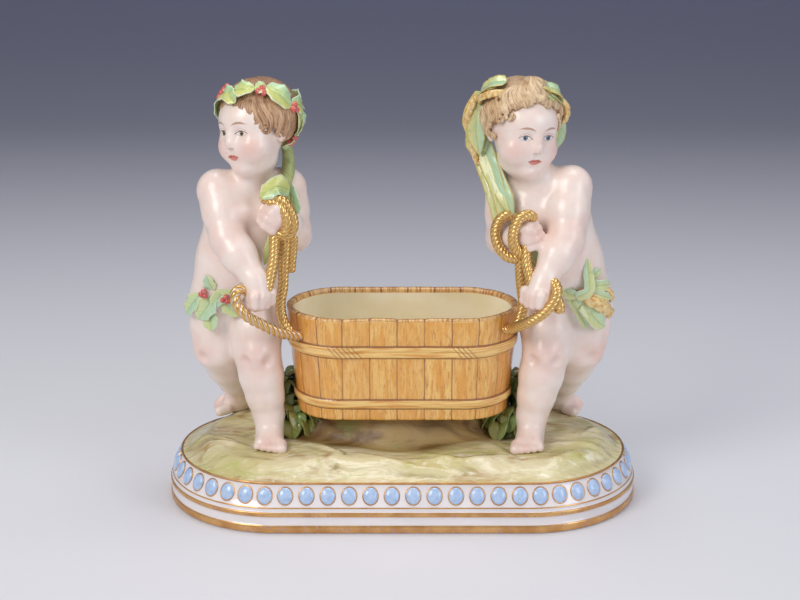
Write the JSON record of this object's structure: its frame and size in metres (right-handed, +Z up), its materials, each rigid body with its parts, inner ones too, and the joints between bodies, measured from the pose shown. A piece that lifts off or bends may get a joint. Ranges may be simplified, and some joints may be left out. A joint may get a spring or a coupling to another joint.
{
  "type": "porcelain figural centerpiece",
  "caption": "Porcelain table centerpiece: children with wreaths hold an oval staved tub by gilt ropes over a mossy ground, on an oval plinth set with blue enamel drops.",
  "frame": {"origin": "middle of the underside of the plinth", "axes": "+X along the plinth, towards the child with the wheat; -Y is the front that the group faces; +Z up"},
  "size_m": [0.254, 0.122, 0.2337],
  "materials": {
    "glazed_plinth": "glossy white glaze with gilt bands",
    "green_ground": "glossy glaze washed in moss green and ochre",
    "blue_enamel": "glossy raised enamel",
    "gilding": "burnished fired gilding",
    "painted_staves": "glazed, painted as grained wood",
    "tinted_flesh": "soft gloss glaze with a pink blush",
    "painted_hair": "glazed, brushed in brown",
    "painted_leaves": "glazed, painted in greens"
  },
  "bodies": {
    "root": {"plinth": "glazed_plinth", "tub": "painted_staves", "holly_child": "tinted_flesh", "wheat_child": "tinted_flesh"}
  },
  "joints": []
}
